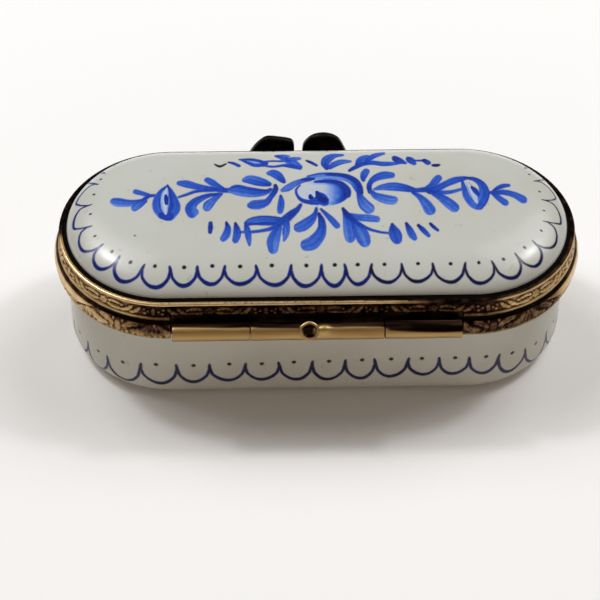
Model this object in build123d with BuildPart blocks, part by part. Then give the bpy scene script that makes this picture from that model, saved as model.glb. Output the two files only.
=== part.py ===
from build123d import *
import os
from math import cos, radians, sin, sqrt

# Oblong porcelain trinket box with two brass rims, a long three-knuckle hinge and a bow clasp.
# Millimetres. The origin is at the centre of the foot, on the table. +X runs along the box,
# +Y points to the hinge, -Y to the clasp, +Z up. The lid is closed.

# Plan outline: a slot with semicircular ends, at the widest line of the lower rim.
half_length = 36.0
half_width = 15.8
straight_half = half_length - half_width

# Heights.
parting = 16.8
lid_rise = 6.0

# Lower porcelain bowl. Its wall leans out a little towards the foot.
bowl_top = parting - 0.9
bowl_top_reach = half_width - 1.8
bowl_low_reach = half_width - 1.4
bowl_corner = 2.9
bowl_inside_reach = half_width - 4.0
bowl_inside_corner = 1.5
floor_top = 3.0
foot_outer = 11.3
foot_inner = 9.9
foot_recess = 0.8
foot_flare = 0.12
corner_in = 0.25
corner_up = 0.29

# Porcelain lid: a low crowned plate with a rounded shoulder.
lid_seat = parting + 0.7
lid_reach = half_width - 2.05
lid_shoulder = parting + 2.8
lid_top = parting + lid_rise
crown_power = 3
crown_shares = (0.96, 0.84, 0.55)
lid_inside_reach = half_width - 4.05
lid_inside_corner = 1.6
lid_ceiling = parting + 4.2

# Rims. Both have a flat flange that laps over the porcelain's edge.
flange_reach = half_width - 4.2
rim_bottom = parting - 3.35
rim_bulge = parting - 1.5
rim_tuck = 0.3
rim_lip_reach = half_width - 1.68
rim_lip_top = rim_bottom + 0.3
rim_bore_reach = half_width - 1.5
rim_edge_reach = half_width - 0.6
edge_break = 0.1
lid_rim_top = parting + 2.6
lid_rim_top_reach = half_width - 0.95
lid_rim_bore_reach = half_width - 1.45
lid_rim_bead = 0.2
lid_cement_low_edge = parting + 2.35
lid_cement_high_edge = parting + 2.7

# Hinge at the back, set a little towards +X of the box's middle.
hinge_x = 0.5
pin_y = 16.6
pin_z = parting - 0.85
pin_radius = 0.5
pin_running_radius = 0.55
knuckle_radius = 1.2
barrel_half = 19.0
centre_half = 8.75
knuckle_gap = 0.1
outer_length = barrel_half - centre_half - knuckle_gap
knuckle_break = 0.08
recess_half = 19.3
recess_y = 14.6
recess_top = parting + 0.8
leaf_half = 19.1
leaf_face_y = 15.0
leaf_bottom = rim_bottom + 0.1
leaf_gap = 0.05
bearer_y = 15.9
bearer_bottom = pin_z - 1.0
bearer_top = pin_z + 0.25
tongue_back_y = 14.7
tongue_bottom = parting - 1.2
tongue_top = pin_z + 0.75
tongue_gap = 0.1
tongue_half = centre_half - tongue_gap

# Small raised eyelet on the middle knuckle, over the hole that locks the pin.
eyelet_x = hinge_x + 1.1
eyelet_tilt = 42.0
eyelet_outer = 1.3
eyelet_inner = 0.8
eyelet_root = 0.6
eyelet_height = 1.45
lock_hole_radius = 0.4

# Clasp at the front: a cast bow on a springy strip that snaps over a stud. It also sits
# towards +X of the middle.
clasp_x = 2.2
strip_back_y = -16.1
strip_front_y = -16.5
strip_half = 2.1
strip_bottom = parting - 2.9
strip_top = parting + 0.6
pad_bottom = parting + 0.15
pad_top = parting + 0.95
pad_root_y = -14.7
eye_z = parting - 1.6
eye_radius = 0.8
stud_radius = 0.6
stud_tip_y = -16.02
stud_root_y = -14.9
stud_round = 0.2
bow_thickness = 1.0
tail_thickness = 0.7
knot_half = 0.95
knot_bottom = parting - 3.4
knot_top = parting - 1.5
knot_round = 0.45
bow_round = 0.1
cut_margin = 1.0

# Outlines of the bow: distance from the knot's middle and height above the parting.
plus_loop = [
    (0.3, -2.4),
    (0.5, 0.4),
    (0.6, 2.0),
    (1.3, 2.75),
    (4.1, 3.25),
    (5.3, 2.65),
    (6.5, 1.1),
    (7.1, -0.6),
    (6.1, -2.2),
    (3.2, -2.5),
]
minus_loop = [
    (-0.3, -2.4),
    (-0.6, 0.5),
    (-0.9, 2.1),
    (-2.1, 3.4),
    (-3.9, 3.75),
    (-5.6, 3.0),
    (-6.5, 1.4),
    (-7.0, -0.4),
    (-6.0, -2.1),
    (-3.2, -2.5),
]
tail = [
    (0.1, -2.6),
    (1.2, -2.9),
    (2.6, -4.3),
    (3.9, -5.9),
    (2.8, -5.7),
    (2.2, -6.5),
    (1.1, -4.6),
]


def bowl_reach(height):
    """Half width of the bowl's leaning outer wall at a height above the foot's corner."""
    share = (bowl_top - height) / (bowl_top - bowl_corner)
    return bowl_top_reach + share * (bowl_low_reach - bowl_top_reach)


def crown_height(reach):
    """Height of the lid's outer surface at a distance from the spine of the outline."""
    return lid_shoulder + (lid_top - lid_shoulder) * sqrt(1 - (reach / lid_reach) ** crown_power)


def sweep_round_outline(section):
    """Carry a half section, X out from the spine and Y up, round the slot-shaped outline."""
    for side in (1, -1):
        end = Vector(side * straight_half, 0, 0)
        with BuildSketch(Plane(origin=end, x_dir=(0, -side, 0), z_dir=(-side, 0, 0))) as placed:
            add(section)
        extrude(placed.sketch, amount=2 * straight_half)
        revolve(placed.sketch, axis=Axis(end, (0, 0, 1)), revolution_arc=180)


def knuckle_tube(start, length, bore_radius):
    """One tube of the hinge barrel, along X."""
    with BuildSketch(Plane.YZ.offset(start)) as ring:
        with Locations((pin_y, pin_z)):
            Circle(knuckle_radius)
            Circle(bore_radius, mode=Mode.SUBTRACT)
    extrude(ring.sketch, amount=length)
    ends = edges().filter_by(GeomType.CIRCLE).group_by(SortBy.RADIUS)[-1]
    chamfer(ends, knuckle_break)


def block(low, high, mode=Mode.ADD):
    """A plain box between two corners."""
    middle = (Vector(*low) + Vector(*high)) / 2
    with Locations(middle):
        Box(*[b - a for a, b in zip(low, high)], mode=mode)


os.makedirs("parts", exist_ok=True)

# ---- Lower half --------------------------------------------------------------------------

with BuildSketch() as bowl_section:
    with BuildLine():
        Polyline(
            (0, foot_recess),
            (foot_inner, foot_recess),
            (foot_inner, 0),
            (foot_outer, 0),
        )
        Spline(
            (foot_outer, 0),
            (bowl_low_reach - corner_in * bowl_corner, corner_up * bowl_corner),
            (bowl_low_reach, bowl_corner),
            tangents=[(1, foot_flare), (bowl_top_reach - bowl_low_reach, bowl_top - bowl_corner)],
        )
        Polyline(
            (bowl_low_reach, bowl_corner),
            (bowl_top_reach, bowl_top),
            (bowl_inside_reach, bowl_top),
            (bowl_inside_reach, floor_top + bowl_inside_corner),
        )
        ThreePointArc(
            (bowl_inside_reach, floor_top + bowl_inside_corner),
            (
                bowl_inside_reach - bowl_inside_corner * (1 - cos(radians(45))),
                floor_top + bowl_inside_corner * (1 - sin(radians(45))),
            ),
            (bowl_inside_reach - bowl_inside_corner, floor_top),
        )
        Polyline(
            (bowl_inside_reach - bowl_inside_corner, floor_top),
            (0, floor_top),
            (0, foot_recess),
        )
    make_face()

with BuildPart() as base_porcelain:
    sweep_round_outline(bowl_section.sketch)
base_porcelain.part.label = "base_porcelain"
export_step(base_porcelain.part, "parts/base_porcelain.step")

with BuildSketch() as base_rim_section:
    with BuildLine():
        Spline(
            (half_width - rim_tuck, rim_bottom),
            (half_width, rim_bulge),
            (rim_edge_reach, parting - edge_break),
            tangents=[(0.35, 1), (0, 1), (-0.7, 1)],
        )
        Polyline(
            (rim_edge_reach, parting - edge_break),
            (rim_edge_reach - edge_break, parting),
            (flange_reach, parting),
            (flange_reach, bowl_top),
            (rim_bore_reach, bowl_top),
            (rim_bore_reach, rim_lip_top),
            (rim_lip_reach, rim_lip_top),
            (rim_lip_reach, rim_bottom),
            (half_width - rim_tuck, rim_bottom),
        )
    make_face()

with BuildPart() as base_rim:
    sweep_round_outline(base_rim_section.sketch)
    block(
        (hinge_x - recess_half, recess_y, rim_bottom - cut_margin),
        (hinge_x + recess_half, half_width + cut_margin, parting + cut_margin),
        mode=Mode.SUBTRACT,
    )
    with BuildSketch(Plane.XZ.offset(-stud_root_y)):
        with Locations((clasp_x, eye_z)):
            Circle(stud_radius)
    extrude(amount=stud_root_y - stud_tip_y, mode=Mode.SUBTRACT)
base_rim.part.label = "base_rim"
export_step(base_rim.part, "parts/base_rim.step")

with BuildSketch() as base_cement_section:
    with BuildLine():
        Polyline(
            (bowl_reach(rim_lip_top), rim_lip_top),
            (rim_bore_reach, rim_lip_top),
            (rim_bore_reach, bowl_top),
            (bowl_top_reach, bowl_top),
            close=True,
        )
    make_face()

with BuildPart() as base_cement:
    sweep_round_outline(base_cement_section.sketch)
base_cement.part.label = "base_cement"
export_step(base_cement.part, "parts/base_cement.step")

with BuildPart() as catch_stud:
    with BuildSketch(Plane.XZ.offset(-stud_root_y)):
        with Locations((clasp_x, eye_z)):
            Circle(stud_radius)
    extrude(amount=stud_root_y - stud_tip_y)
    fillet(faces().sort_by(Axis.Y)[0].edges(), stud_round)
catch_stud.part.label = "catch_stud"
export_step(catch_stud.part, "parts/catch_stud.step")

with BuildPart() as base_hinge_leaf:
    block(
        (hinge_x - leaf_half, recess_y, leaf_bottom),
        (hinge_x + leaf_half, leaf_face_y, parting - leaf_gap),
    )
    block(
        (hinge_x - leaf_half, leaf_face_y, bearer_bottom),
        (hinge_x + leaf_half, bearer_y, bearer_top),
    )
    block(
        (hinge_x - centre_half - knuckle_gap, leaf_face_y, bearer_bottom),
        (hinge_x + centre_half + knuckle_gap, bearer_y, bearer_top),
        mode=Mode.SUBTRACT,
    )
    block(
        (hinge_x - centre_half - knuckle_gap, recess_y, tongue_bottom - tongue_gap),
        (hinge_x + centre_half + knuckle_gap, bearer_y, parting),
        mode=Mode.SUBTRACT,
    )
    with BuildSketch(Plane.YZ.offset(hinge_x - leaf_half)):
        with Locations((pin_y, pin_z)):
            Circle(knuckle_radius)
    extrude(amount=2 * leaf_half, mode=Mode.SUBTRACT)
base_hinge_leaf.part.label = "base_hinge_leaf"
export_step(base_hinge_leaf.part, "parts/base_hinge_leaf.step")

with BuildPart() as base_knuckle_right:
    knuckle_tube(hinge_x + centre_half + knuckle_gap, outer_length, pin_running_radius)
base_knuckle_right.part.label = "base_knuckle_right"
export_step(base_knuckle_right.part, "parts/base_knuckle_right.step")

with BuildPart() as base_knuckle_left:
    knuckle_tube(hinge_x - barrel_half, outer_length, pin_running_radius)
base_knuckle_left.part.label = "base_knuckle_left"
export_step(base_knuckle_left.part, "parts/base_knuckle_left.step")

# ---- Upper half --------------------------------------------------------------------------

with BuildSketch() as lid_section:
    with BuildLine():
        Polyline(
            (lid_inside_reach, lid_seat),
            (lid_reach, lid_seat),
            (lid_reach, lid_shoulder),
        )
        Spline(
            (lid_reach, lid_shoulder),
            *[(share * lid_reach, crown_height(share * lid_reach)) for share in crown_shares],
            (0, lid_top),
            tangents=[(0, 1), (-1, 0)],
        )
        Polyline(
            (0, lid_top),
            (0, lid_ceiling),
            (lid_inside_reach - lid_inside_corner, lid_ceiling),
        )
        ThreePointArc(
            (lid_inside_reach - lid_inside_corner, lid_ceiling),
            (
                lid_inside_reach - lid_inside_corner * (1 - cos(radians(45))),
                lid_ceiling - lid_inside_corner * (1 - sin(radians(45))),
            ),
            (lid_inside_reach, lid_ceiling - lid_inside_corner),
        )
        Line((lid_inside_reach, lid_ceiling - lid_inside_corner), (lid_inside_reach, lid_seat))
    make_face()

with BuildPart() as lid_porcelain:
    sweep_round_outline(lid_section.sketch)
lid_porcelain.part.label = "lid_porcelain"
export_step(lid_porcelain.part, "parts/lid_porcelain.step")

with BuildSketch() as lid_rim_section:
    with BuildLine():
        Polyline(
            (lid_rim_bore_reach, lid_rim_top - lid_rim_bead),
            (lid_rim_bore_reach, lid_seat),
            (flange_reach, lid_seat),
            (flange_reach, parting),
            (rim_edge_reach - edge_break, parting),
            (rim_edge_reach, parting + edge_break),
            (lid_rim_top_reach, lid_rim_top - lid_rim_bead),
        )
        ThreePointArc(
            (lid_rim_top_reach, lid_rim_top - lid_rim_bead),
            ((lid_rim_top_reach + lid_rim_bore_reach) / 2, lid_rim_top),
            (lid_rim_bore_reach, lid_rim_top - lid_rim_bead),
        )
    make_face()

with BuildPart() as lid_rim:
    sweep_round_outline(lid_rim_section.sketch)
    block(
        (hinge_x - recess_half, recess_y, parting - cut_margin),
        (hinge_x + recess_half, half_width + cut_margin, recess_top),
        mode=Mode.SUBTRACT,
    )
lid_rim.part.label = "lid_rim"
export_step(lid_rim.part, "parts/lid_rim.step")

with BuildSketch() as lid_cement_section:
    with BuildLine():
        Polyline(
            (lid_reach, lid_seat),
            (lid_rim_bore_reach, lid_seat),
            (lid_rim_bore_reach, lid_cement_low_edge),
            (lid_reach, lid_cement_high_edge),
            close=True,
        )
    make_face()

with BuildPart() as lid_cement:
    sweep_round_outline(lid_cement_section.sketch)
lid_cement.part.label = "lid_cement"
export_step(lid_cement.part, "parts/lid_cement.step")

with BuildPart() as lid_hinge_leaf:
    block(
        (hinge_x - leaf_half, recess_y, parting),
        (hinge_x + leaf_half, leaf_face_y, recess_top),
    )
    block(
        (hinge_x - tongue_half, tongue_back_y, tongue_bottom),
        (hinge_x + tongue_half, leaf_face_y, parting),
    )
    block(
        (hinge_x - tongue_half, leaf_face_y, tongue_bottom),
        (hinge_x + tongue_half, bearer_y, tongue_top),
    )
    with BuildSketch(Plane.YZ.offset(hinge_x - leaf_half)):
        with Locations((pin_y, pin_z)):
            Circle(knuckle_radius)
    extrude(amount=2 * leaf_half, mode=Mode.SUBTRACT)
lid_hinge_leaf.part.label = "lid_hinge_leaf"
export_step(lid_hinge_leaf.part, "parts/lid_hinge_leaf.step")

eyelet_axis = Vector(0, cos(radians(eyelet_tilt)), sin(radians(eyelet_tilt)))
eyelet_plane = Plane(origin=(eyelet_x, pin_y, pin_z), x_dir=(1, 0, 0), z_dir=eyelet_axis)

with BuildPart() as lid_knuckle:
    knuckle_tube(hinge_x - centre_half, 2 * centre_half, pin_radius)
    with BuildSketch(eyelet_plane):
        Circle(lock_hole_radius)
    extrude(amount=2 * knuckle_radius, mode=Mode.SUBTRACT)
lid_knuckle.part.label = "lid_knuckle"
export_step(lid_knuckle.part, "parts/lid_knuckle.step")

with BuildPart() as pin_lock_eyelet:
    with BuildSketch(eyelet_plane.offset(eyelet_root)):
        Circle(eyelet_outer)
        Circle(eyelet_inner, mode=Mode.SUBTRACT)
    extrude(amount=eyelet_height - eyelet_root)
    with BuildSketch(Plane.YZ.offset(eyelet_x - 2 * eyelet_outer)):
        with Locations((pin_y, pin_z)):
            Circle(knuckle_radius)
    extrude(amount=4 * eyelet_outer, mode=Mode.SUBTRACT)
pin_lock_eyelet.part.label = "pin_lock_eyelet"
export_step(pin_lock_eyelet.part, "parts/pin_lock_eyelet.step")

with BuildPart() as hinge_pin:
    with BuildSketch(Plane.YZ.offset(hinge_x - barrel_half)):
        with Locations((pin_y, pin_z)):
            Circle(pin_radius)
    extrude(amount=2 * barrel_half)
hinge_pin.part.label = "hinge_pin"
export_step(hinge_pin.part, "parts/hinge_pin.step")

with BuildPart() as clasp_strip:
    block(
        (clasp_x - strip_half, strip_front_y, strip_bottom),
        (clasp_x + strip_half, strip_back_y, strip_top),
    )
    block(
        (clasp_x - strip_half, strip_back_y, pad_bottom),
        (clasp_x + strip_half, pad_root_y, pad_top),
    )
    add(lid_rim.part, mode=Mode.SUBTRACT)
    with BuildSketch(Plane.XZ.offset(-strip_back_y)):
        with Locations((clasp_x, eye_z)):
            Circle(eye_radius)
    extrude(amount=strip_back_y - strip_front_y, mode=Mode.SUBTRACT)
clasp_strip.part.label = "clasp_strip"
export_step(clasp_strip.part, "parts/clasp_strip.step")

# The knot stands as far forward as the eyelet stands back, so the part is centred on its origin.
eyelet_back_y = pin_y + eyelet_height * eyelet_axis.Y + eyelet_outer * eyelet_axis.Z
bow_plane = Plane(origin=(clasp_x, strip_front_y, parting), x_dir=(1, 0, 0), z_dir=(0, -1, 0))

with BuildPart() as clasp_bow:
    with BuildSketch(bow_plane):
        for outline in (plus_loop, minus_loop):
            with BuildLine():
                Spline(*outline, periodic=True)
            make_face()
    extrude(amount=bow_thickness)
    fillet(faces().filter_by(Axis.Y).sort_by(Axis.Y)[0:2].edges(), bow_round)
    with BuildSketch(bow_plane):
        with BuildLine():
            Polyline(*tail, close=True)
        make_face()
        mirror(about=Plane.YZ)
    extrude(amount=tail_thickness)
    block(
        (clasp_x - knot_half, -eyelet_back_y, knot_bottom),
        (clasp_x + knot_half, strip_front_y, knot_top),
    )
    fillet(faces().sort_by(Axis.Y)[0].edges(), knot_round)
clasp_bow.part.label = "clasp_bow"
export_step(clasp_bow.part, "parts/clasp_bow.step")
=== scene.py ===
import math

import bpy
import numpy as np
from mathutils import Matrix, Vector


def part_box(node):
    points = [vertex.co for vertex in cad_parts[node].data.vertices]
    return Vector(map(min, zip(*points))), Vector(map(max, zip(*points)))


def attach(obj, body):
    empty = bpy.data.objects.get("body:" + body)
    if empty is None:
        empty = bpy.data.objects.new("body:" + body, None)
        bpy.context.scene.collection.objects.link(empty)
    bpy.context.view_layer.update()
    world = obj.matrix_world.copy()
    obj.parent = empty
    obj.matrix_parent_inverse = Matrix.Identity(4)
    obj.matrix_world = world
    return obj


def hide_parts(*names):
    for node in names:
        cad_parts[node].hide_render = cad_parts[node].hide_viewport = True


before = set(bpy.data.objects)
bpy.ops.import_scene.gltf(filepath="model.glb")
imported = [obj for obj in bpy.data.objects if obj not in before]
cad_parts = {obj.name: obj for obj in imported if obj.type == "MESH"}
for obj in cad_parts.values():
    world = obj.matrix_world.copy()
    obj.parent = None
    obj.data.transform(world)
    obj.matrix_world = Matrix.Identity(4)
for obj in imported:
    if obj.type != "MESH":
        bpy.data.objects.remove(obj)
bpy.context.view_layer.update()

# Lengths below are in millimetres until a mesh is made. The frame gives the driving sizes.
MM = 0.001


def node_box(name):
    """Lowest and highest corner of a CAD node, in millimetres."""
    low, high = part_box(name)
    return np.array(low) / MM, np.array(high) / MM


RIM_LOW, RIM_HIGH = node_box("base_rim")
LID_RIM_LOW, LID_RIM_HIGH = node_box("lid_rim")
LID_LOW, LID_HIGH = node_box("lid_porcelain")
BOWL_HIGH = node_box("base_porcelain")[1]
BARREL_LOW, BARREL_HIGH = node_box("lid_knuckle")
OUTER_LOW, OUTER_HIGH = node_box("base_knuckle_right")
EYELET_LOW, EYELET_HIGH = node_box("pin_lock_eyelet")
STRIP_LOW, STRIP_HIGH = node_box("clasp_strip")
BOW_FRONT = node_box("clasp_bow")[0][1]
LEAF_LOW, LEAF_HIGH = node_box("lid_hinge_leaf")

HALF_WIDTH = -RIM_LOW[1]
SPINE = RIM_HIGH[0] - HALF_WIDTH    # the outline's ends are centred at x = +-SPINE
PARTING = LID_RIM_LOW[2]
LID_TOP = LID_HIGH[2]
LID_SEAT = LID_LOW[2]
LID_REACH = LID_HIGH[1]
LID_SHOULDER = PARTING + 2.8
LID_CEILING = PARTING + 4.2
LID_INSIDE = LID_REACH - 2.0
BOWL_TOP = BOWL_HIGH[2]
BOWL_TOP_REACH = HALF_WIDTH - 1.8
BOWL_LOW_REACH = HALF_WIDTH - 1.4
BOWL_CORNER = 2.9
HINGE_X = (LEAF_LOW[0] + LEAF_HIGH[0]) / 2
CLASP_X = (STRIP_LOW[0] + STRIP_HIGH[0]) / 2
RECESS_Y = LEAF_LOW[1]
RECESS_HALF = (LEAF_HIGH[0] - LEAF_LOW[0]) / 2 + 0.2
RECESS_TOP = LEAF_HIGH[2]
PIN_Y = (OUTER_LOW[1] + OUTER_HIGH[1]) / 2
PIN_Z = (OUTER_LOW[2] + OUTER_HIGH[2]) / 2
TUBE_RADIUS = (OUTER_HIGH[1] - OUTER_LOW[1]) / 2
EYELET_X = (EYELET_LOW[0] + EYELET_HIGH[0]) / 2
EYELET_TILT = math.radians(47.0)
CROWN_POWER = 3.0
RELIEF = 0.28                   # height of the chasing on the rims
PAINTED_SHADE_LEVEL = 0.02                    # brass level of painted deep shade, where 1 is bright


# ---- Meshes ----

def smoothstep(low, high, value):
    t = np.clip((value - low) / (high - low), 0, 1)
    return t * t * (3 - 2 * t)


def wrapped(s, loop):
    """A place on a loop as a distance from -loop / 2 to loop / 2."""
    return (s + loop / 2) % loop - loop / 2


def spline(a, b, c, d, t):
    """Catmull-Rom curve from b to c."""
    return 0.5 * (2 * b + (c - a) * t + (2 * a - 5 * b + 4 * c - d) * t**2 + (3 * b - a - 3 * c + d) * t**3)


def add_object(name, data):
    obj = bpy.data.objects.new(name, data)
    bpy.context.scene.collection.objects.link(obj)
    return obj


def make_object(name, points, faces, attributes=None):
    """A smooth mesh object from millimetre points, with a value of each attribute per point."""
    mesh = bpy.data.meshes.new(name)
    mesh.from_pydata((np.asarray(points, float) * MM).tolist(), [], faces)
    mesh.update()
    for key, values in (attributes or {}).items():
        mesh.attributes.new(key, "FLOAT", "POINT").data.foreach_set("value", values.astype(np.float32))
    mesh.shade_smooth()
    return add_object(name, mesh)


def weld_grid(grid, wrap_rows=False):
    """Points, faces and kept indices of a grid (columns, rows, 3) whose columns close in a loop.

    Points that coincide weld.
    """
    flat = grid.reshape(-1, 3)
    _, first, index = np.unique(np.round(flat, 5), axis=0, return_index=True, return_inverse=True)
    a = index.reshape(grid.shape[:2])
    b = np.roll(a, -1, axis=0)
    if wrap_rows:
        a_up, b_up = np.roll(a, -1, axis=1), np.roll(b, -1, axis=1)
    else:
        a, a_up, b, b_up = a[:, :-1], a[:, 1:], b[:, :-1], b[:, 1:]
    faces = []
    for quad in np.stack([a, b, b_up, a_up], axis=-1).reshape(-1, 4).tolist():
        corners = [v for i, v in enumerate(quad) if v != quad[i - 1]]
        if len(corners) > 2 and len(set(corners)) == len(corners):
            faces.append(corners)
    return flat[first], faces, first


def grid_object(name, grid, attributes, wrap_rows=False):
    points, faces, first = weld_grid(grid, wrap_rows)
    return make_object(name, points, faces, {key: v.reshape(-1)[first] for key, v in attributes.items()})


def outline_columns(spacing, reach, cuts=()):
    """Stations round the slot outline: spine x, outward direction, and arc length s.

    s is zero in the middle of the hinge side and grows towards -X. It is measured at reach.
    Each cut has a station close on either side of it.
    """
    side_count = round(2 * SPINE / spacing)
    side = np.linspace(SPINE, -SPINE, side_count, endpoint=False)
    side = np.sort(np.append(side, [cut + gap for cut in cuts for gap in (-0.006, 0.006)]))[::-1]
    far_side = np.linspace(-SPINE, SPINE, side_count, endpoint=False)
    turn = np.linspace(0, math.pi, round(math.pi * reach / spacing), endpoint=False)
    quarter = math.pi / 2
    angle = quarter + np.concatenate([0 * side, turn, 0 * far_side + math.pi, math.pi + turn])
    x = np.concatenate([side, 0 * turn - SPINE, far_side, 0 * turn + SPINE])
    end = math.pi * reach
    loop = 4 * SPINE + 2 * end
    s = np.concatenate([
        -side,
        SPINE + turn * reach,
        2 * SPINE + end + far_side,
        3 * SPINE + end + turn * reach,
    ])
    return {"x": x, "nx": np.cos(angle), "ny": np.sin(angle), "s": wrapped(s, loop), "loop": loop}


def profile(points):
    """Rows of a section. Each point is (reach, height, fillet, step): the corner's radius, and
    the spacing of rows on the way to it."""
    rows = []
    for i, (r, z, fillet, step) in enumerate(points):
        here = np.array([r, z], float)
        corner = [here]
        if fillet > 0:
            before = np.array(points[i - 1][:2], float) - here
            after = np.array(points[i + 1][:2], float) - here
            before /= np.linalg.norm(before)
            after /= np.linalg.norm(after)
            half = math.acos(np.clip(before @ after, -1, 1)) / 2
            reach = fillet / math.tan(half)
            middle = before + after
            centre = here + middle / np.linalg.norm(middle) * fillet / math.sin(half)
            a0, a1 = (math.atan2(*(here + way * reach - centre)[::-1]) for way in (before, after))
            swing = wrapped(a1 - a0, 2 * math.pi)
            parts = max(2, round(abs(swing) / 0.4))
            turns = a0 + swing * np.arange(parts + 1) / parts
            corner = list(centre + fillet * np.stack([np.cos(turns), np.sin(turns)], axis=1))
        if i > 0:
            start = rows[-1]
            parts = max(1, math.ceil(np.linalg.norm(corner[0] - start) / step))
            rows += [start + (corner[0] - start) * k / parts for k in range(1, parts)]
        rows += corner
    return np.array(rows)


def sweep(columns, rows, lift=0.0):
    """Grid of points for rows (reach, height) carried round the columns. lift moves each point
    out along the section's own normal."""
    tangent = np.gradient(rows, axis=0)
    tangent /= np.maximum(np.linalg.norm(tangent, axis=1, keepdims=True), 1e-9)
    flat = np.zeros((len(columns["x"]), len(rows)))
    reach = rows[:, 0] + lift * tangent[:, 1] + flat
    height = rows[:, 1] - lift * tangent[:, 0] + flat
    x = columns["x"][:, None] + columns["nx"][:, None] * reach
    return np.stack([x, columns["ny"][:, None] * reach, height], axis=-1)


# ---- Painting ----

class Painting:
    """Hand painting held on a mesh: how far each point lies inside a stroke, and its tone.

    Tones run from 0, a pale wash, through 0.5, cobalt, and 0.9, navy, to 1, black.
    """

    def __init__(self, u, v, spread=0.0, squash=1.0):
        self.spread = spread
        self.squash = squash
        self.u = u.ravel()
        self.v = v.ravel()
        self.ink = np.full(self.u.size, -1.0)
        self.tone = np.full(self.u.size, 0.5)

    def lay(self, where, inside, tone):
        """Put paint over what is there."""
        old = self.ink[where]
        over = smoothstep(-0.06, 0.06, inside)
        nearest = inside > old
        mixed = self.tone[where] * (1 - over) + tone * over
        self.tone[where] = np.where(old < -0.05, np.where(nearest, tone, self.tone[where]), mixed)
        self.ink[where] = np.maximum(old, inside)

    def stroke(self, points, tone=0.5, head=0.18, edge=0.0, side=0.0, tail=0.0):
        """One brush stroke through (u, v, half width) points.

        head darkens its start, tail its end, edge its borders, side its left flank.
        """
        path = smooth_path(points)
        path[:, 2] += self.spread
        span = path[:, 2].max() + 0.4
        low = path[:, :2].min(0) - span
        high = path[:, :2].max(0) + span
        where = np.flatnonzero(
            (self.u > low[0]) & (self.u < high[0]) & (self.v > low[1]) & (self.v < high[1])
        )
        if not len(where):
            return
        du = self.u[where, None] - path[None, :, 0]
        dv = self.v[where, None] - path[None, :, 1]
        gap = np.hypot(du, dv * self.squash)
        fit = path[None, :, 2] - gap
        best = np.argmax(fit, axis=1)
        rows = np.arange(len(where))
        inside = fit[rows, best]
        t = best / (len(path) - 1)
        direction = np.gradient(path[:, :2], axis=0)
        direction /= np.maximum(np.linalg.norm(direction, axis=1, keepdims=True), 1e-9)
        across = direction[best, 0] * dv[rows, best] - direction[best, 1] * du[rows, best]
        across = np.clip(across / path[best, 2], -1.2, 1.2)
        streaks = 0.05 * np.sin(across * 6.1 + path[0, 0] * 3) + 0.03 * np.sin(across * 13 + t * 5)
        value = tone + head * (1 - t) ** 2 + tail * t ** 3 + edge * np.abs(across) ** 3
        self.lay(where, inside, value + side * across + streaks)

    def spot(self, u, v, radius, tone=0.97):
        """A round dab."""
        where = np.flatnonzero((np.abs(self.u - u) < radius + 0.4) & (np.abs(self.v - v) < radius + 0.4))
        gap = np.hypot(self.u[where] - u, self.v[where] - v)
        self.lay(where, radius - gap, np.full(len(where), tone))


def smooth_path(points, step=0.07):
    """Curve through the points (u, v, half width), sampled every step."""
    p = np.array(points, float)
    p = np.vstack([2 * p[0] - p[1], p, 2 * p[-1] - p[-2]])
    p[:, 2] = np.maximum(p[:, 2], 0.02)
    out = []
    for a, b, c, d in zip(p[:-3], p[1:-2], p[2:-1], p[3:]):
        count = max(2, int(np.linalg.norm((c - b)[:2]) / step))
        out.append(spline(a, b, c, d, np.linspace(0, 1, count, endpoint=False)[:, None]))
    path = np.vstack(out + [p[-2][None]])
    path[:, 2] = np.maximum(path[:, 2], 0.03)
    return path


def mix(tone, **shading):
    """Paint for one stroke."""
    return dict(shading, tone=tone)


LEAF = mix(0.5)
PALE = mix(0.4, edge=0.12)
LINE = mix(0.62, head=0)

# The bouquet, in plan: +x is towards the hinge side's left end, +y towards the hinge. Each
# stroke is (paint, points), and a point is (x, y, half width).

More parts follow.
